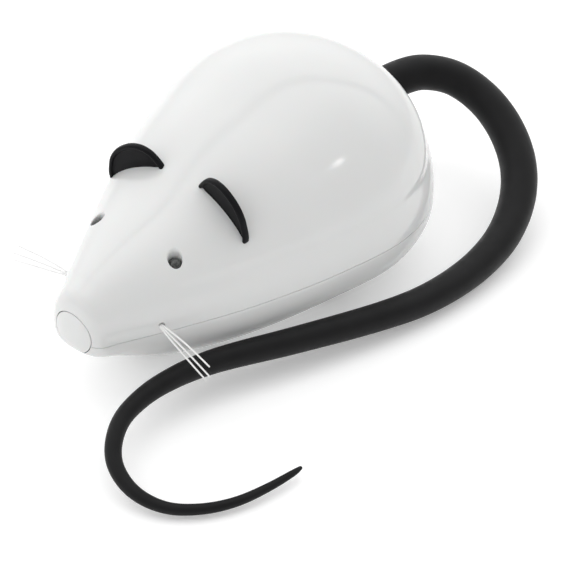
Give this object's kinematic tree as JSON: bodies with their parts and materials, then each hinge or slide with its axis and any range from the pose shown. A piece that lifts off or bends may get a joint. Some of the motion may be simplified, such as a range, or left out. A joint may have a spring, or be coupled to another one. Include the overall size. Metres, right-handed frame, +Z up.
{
  "type": "clockwork toy mouse",
  "caption": "Wind-up toy mouse with a smooth two-part moulded body on spring-driven wheels, with a nose push-button, standing ears, bead eyes, fine whiskers and a long curled rubber tail.",
  "frame": {"origin": "on the floor under the middle plane of the mouse, halfway along its body", "axes": "+Z up, nose towards -Y, tail root towards +Y, the mouse's left flank towards +X"},
  "size_m": [0.1224, 0.2098, 0.0717],
  "materials": {
    "white_shell": "gloss",
    "black_rubber": "satin",
    "black_satin": "satin",
    "eye_bead": "gloss",
    "whisker_nylon": "gloss",
    "grey_plastic": "satin",
    "steel": "satin",
    "blued_spring": "satin",
    "screw_steel": "satin",
    "brass": "satin",
    "wheel_plastic": "satin",
    "tyre_rubber": "matte",
    "brake_leather": "matte"
  },
  "bodies": {
    "body_and_frame": {"upper_shell": "white_shell", "lower_shell": "white_shell", "brake_pin": "steel", "ear_left": "black_satin", "ear_right": "black_satin", "ear_clips": "steel", "eye_left": "eye_bead", "eye_right": "eye_bead", "eye_washers": "steel", "whiskers_left": "whisker_nylon", "whiskers_right": "whisker_nylon", "whisker_plugs": "grey_plastic", "tail": "black_rubber", "tail_collar": "grey_plastic", "motor_plate_left": "steel", "motor_plate_right": "steel", "pillars": "steel", "frame_screws": "screw_steel", "mounting_screws": "screw_steel", "mainspring": "blued_spring", "front_axle": "steel", "shell_screws": "screw_steel", "key_eyelet": "brass"},
    "nose": {"nose_button": "white_shell", "push_rod": "steel", "nose_spring": "steel"},
    "brake": {"brake_lever": "steel", "brake_pad": "brake_leather"},
    "great_wheel_unit": {"great_wheel": "brass", "click": "steel", "click_pin": "steel"},
    "winding_unit": {"winding_arbor": "steel", "ratchet_wheel": "brass"},
    "second_unit": {"second_arbor": "steel", "second_pinion": "brass", "second_gear": "brass"},
    "third_unit": {"third_arbor": "steel", "third_pinion": "brass", "third_gear": "brass"},
    "governor_unit": {"governor_arbor": "steel", "governor_pinion": "brass", "flywheel": "brass"},
    "drive_unit": {"drive_axle": "steel", "axle_pinion": "brass", "wheel_left": "wheel_plastic", "wheel_right": "wheel_plastic", "tyre_left": "tyre_rubber", "tyre_right": "tyre_rubber", "axle_caps": "steel"},
    "roller": {"front_roller": "tyre_rubber"}
  },
  "joints": [
    {"name": "drive_axle_spin", "type": "hinge", "parent": "body_and_frame", "child": "drive_unit", "pos_m": [0, 0.024, 0.015], "axis": [1, 0, 0], "continuous": true},
    {"name": "second_arbor_spin", "type": "hinge", "parent": "body_and_frame", "child": "second_unit", "pos_m": [0, 0.019, 0.03364], "axis": [1, 0, 0], "continuous": true},
    {"name": "great_wheel_spin", "type": "hinge", "parent": "body_and_frame", "child": "great_wheel_unit", "pos_m": [0, 0.04301, 0.03574], "axis": [1, 0, 0], "continuous": true},
    {"name": "third_arbor_spin", "type": "hinge", "parent": "body_and_frame", "child": "third_unit", "pos_m": [0, 0.00036, 0.03864], "axis": [1, 0, 0], "continuous": true},
    {"name": "governor_spin", "type": "hinge", "parent": "body_and_frame", "child": "governor_unit", "pos_m": [0, -0.01777, 0.03204], "axis": [1, 0, 0], "continuous": true},
    {"name": "winding_spin", "type": "hinge", "parent": "great_wheel_unit", "child": "winding_unit", "pos_m": [0, 0.04301, 0.03574], "axis": [1, 0, 0], "continuous": true},
    {"name": "front_roller_spin", "type": "hinge", "parent": "body_and_frame", "child": "roller", "pos_m": [0, -0.038, 0.008], "axis": [1, 0, 0], "continuous": true},
    {"name": "nose_press", "type": "slide", "parent": "body_and_frame", "child": "nose", "axis": [0, 1, 0], "range_m": [0, 0.0015], "stiffness_N_per_m": 600, "springref_m": -0.0005},
    {"name": "brake_lever_swing", "type": "hinge", "parent": "body_and_frame", "child": "brake", "pos_m": [0, -0.031, 0.043], "axis": [1, 0, 0], "range_deg": [0, 5.2]}
  ],
  "couplings": [
    {"joint": "second_arbor_spin", "follows": "drive_axle_spin", "ratio": -0.33333},
    {"joint": "great_wheel_spin", "follows": "drive_axle_spin", "ratio": 0.083333},
    {"joint": "third_arbor_spin", "follows": "drive_axle_spin", "ratio": 1},
    {"joint": "governor_spin", "follows": "drive_axle_spin", "ratio": -3},
    {"joint": "brake_lever_swing", "follows": "nose_press", "rad_per_m": 57.143}
  ]
}
